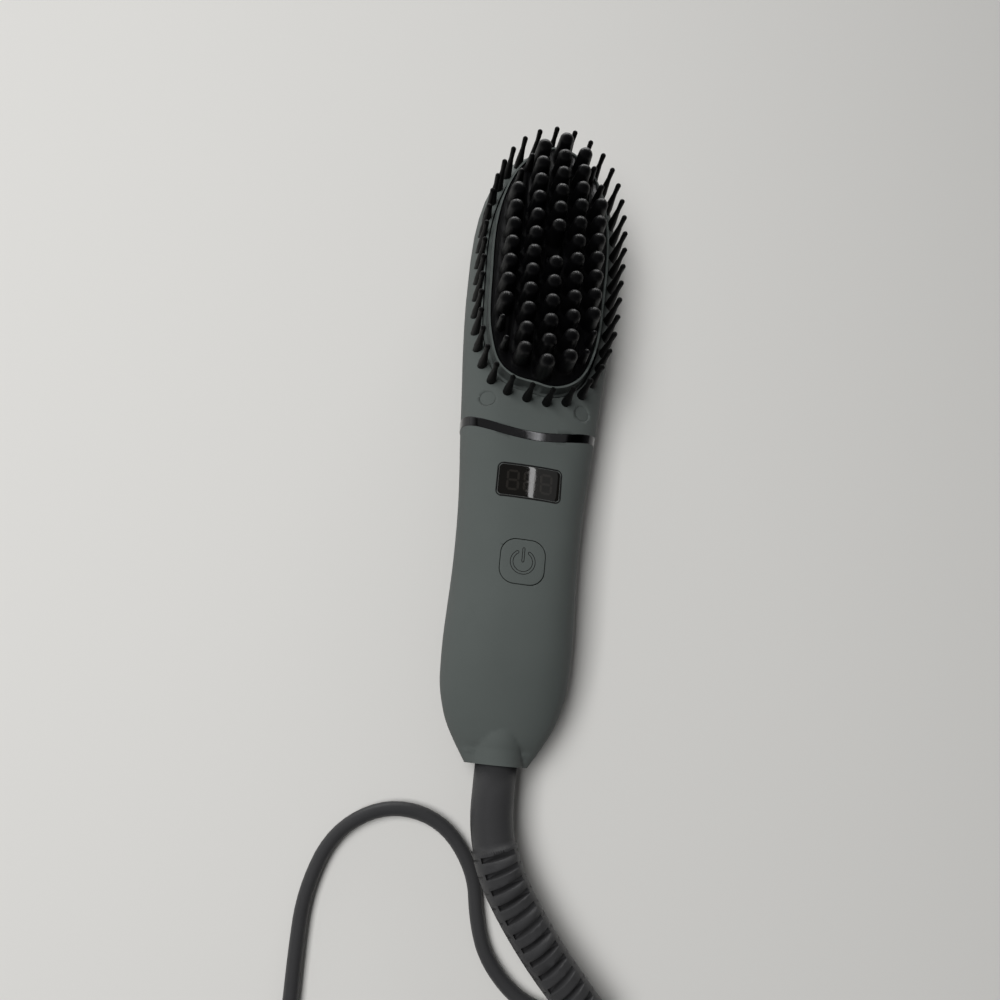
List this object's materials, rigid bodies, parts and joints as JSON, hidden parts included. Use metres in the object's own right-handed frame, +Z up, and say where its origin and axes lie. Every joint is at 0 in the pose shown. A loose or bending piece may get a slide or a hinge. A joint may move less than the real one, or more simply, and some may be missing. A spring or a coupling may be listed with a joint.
{
  "type": "heated hair straightening brush",
  "caption": "Heated brush for straightening hair: oval head with coated bristles inside a ring of guard pins, slim handle with display and power button, corded.",
  "frame": {"origin": "on the floor under the middle of the body, cord left out, with the brush lying on its back", "axes": "+Z up, out of the bristles; +Y from the cord end of the handle to the tip of the head; +X to the right, seen from above with the head away"},
  "size_m": [0.1901, 0.4354, 0.0476],
  "materials": {
    "shell_grey": "fine matt texture",
    "gloss_black": "polished",
    "matte_black": "fine matt texture",
    "bristle_coating": "black ceramic coating",
    "window": "smoked, polished",
    "button_grey": "fine matt texture",
    "steel": "zinc plated",
    "dark_steel": "blackened",
    "ceramic": "white ceramic in foil",
    "mica": "pressed mica",
    "board_green": "solder mask",
    "part_black": "moulded",
    "part_yellow": "dipped",
    "glass_bead": "glassy",
    "foam": "closed-cell foam",
    "display": "moulded",
    "silicone_wire": "silicone",
    "cord_rubber": "matt",
    "brass_blade": "bright"
  },
  "bodies": {
    "brush": {"board_screws": "steel", "bristle_plate": "bristle_coating", "centre_screw": "dark_steel", "clamp_bar_screws": "steel", "clamp_screws": "steel", "cord_clamp": "matte_black", "cord_coil": "cord_rubber", "cord_tie": "matte_black", "display_gasket": "foam", "display_module": "display", "display_window": "window", "filter_capacitor": "part_yellow", "handle_back_shell": "shell_grey", "handle_front_shell": "shell_grey", "head_back_shell": "shell_grey", "head_front_shell": "shell_grey", "heater_clamp": "steel", "heater_elements": "ceramic", "heater_leads": "silicone_wire", "inner_cord": "cord_rubber", "main_board": "board_green", "mains_leads": "silicone_wire", "mica_sheet": "mica", "neck_screws": "steel", "pin_comb": "matte_black", "plate_surround": "shell_grey", "plug_blades": "brass_blade", "plug_body": "cord_rubber", "power_cord": "cord_rubber", "power_relay": "part_black", "screw_plugs": "shell_grey", "strain_relief": "cord_rubber", "tact_switch": "part_black", "thermal_fuse": "steel", "thermistor": "glass_bead", "trim_band": "gloss_black"},
    "button": {"power_button": "button_grey", "switch_plunger": "part_black"}
  },
  "joints": [
    {"name": "button_press", "type": "slide", "parent": "brush", "child": "button", "axis": [0, 0, -1], "range_m": [0, 0.0006], "stiffness_N_per_m": 2500, "springref_m": -0.0002}
  ]
}
